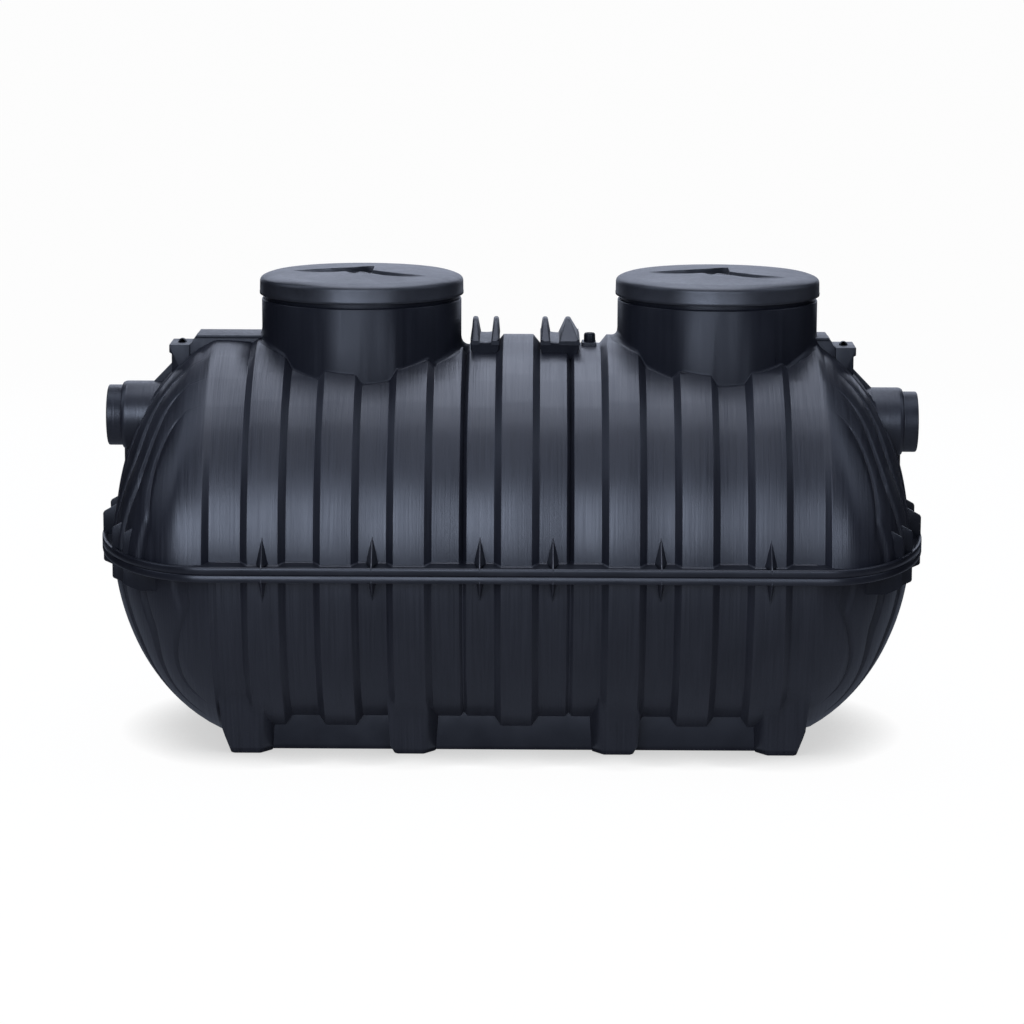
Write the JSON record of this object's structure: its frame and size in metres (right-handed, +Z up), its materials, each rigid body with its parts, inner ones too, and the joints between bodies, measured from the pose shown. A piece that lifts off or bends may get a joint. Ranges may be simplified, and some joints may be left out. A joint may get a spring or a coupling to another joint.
{
  "type": "septic tank",
  "caption": "Horizontal moulded septic tank of two ribbed half shells joined at a flange, with domed ends, covered access necks, inlet and outlet pipe stubs, lifting cradles and feet.",
  "frame": {"origin": "on the floor under the middle of the tank", "axes": "+X along the tank towards the outlet stub, +Y across it, +Z up"},
  "size_m": [2.438, 1.31, 1.3812],
  "materials": {
    "moulding": "matte",
    "cover": "matte"
  },
  "bodies": {
    "tank": {"lower_barrel": "moulding", "lower_inlet_end": "moulding", "lower_outlet_end": "moulding", "upper_barrel": "moulding", "upper_inlet_end": "moulding", "upper_outlet_end": "moulding", "lower_flange": "moulding", "upper_flange": "moulding", "upper_side_gussets": "moulding", "lower_side_gussets": "moulding", "upper_end_gussets": "moulding", "lower_end_gussets": "moulding", "inlet_neck": "moulding", "outlet_neck": "moulding", "inlet_stub": "moulding", "outlet_stub": "moulding", "inlet_saddle": "moulding", "outlet_saddle": "moulding", "inlet_post": "moulding", "outlet_post": "moulding", "inlet_web": "moulding", "outlet_web": "moulding", "front_skirt": "moulding", "back_skirt": "moulding", "front_foot_1": "moulding", "front_foot_2": "moulding", "front_foot_3": "moulding", "front_foot_4": "moulding", "back_foot_1": "moulding", "back_foot_2": "moulding", "back_foot_3": "moulding", "back_foot_4": "moulding", "inlet_cradle": "moulding", "outlet_cradle": "moulding", "cable_guide": "moulding"},
    "inlet_cover": {"inlet_lid": "cover"},
    "outlet_cover": {"outlet_lid": "cover"}
  },
  "joints": [
    {"name": "inlet_cover_lift", "type": "slide", "parent": "tank", "child": "inlet_cover", "axis": [0, 0, 1], "range_m": [0, 0.15]},
    {"name": "outlet_cover_lift", "type": "slide", "parent": "tank", "child": "outlet_cover", "axis": [0, 0, 1], "range_m": [0, 0.15]}
  ]
}
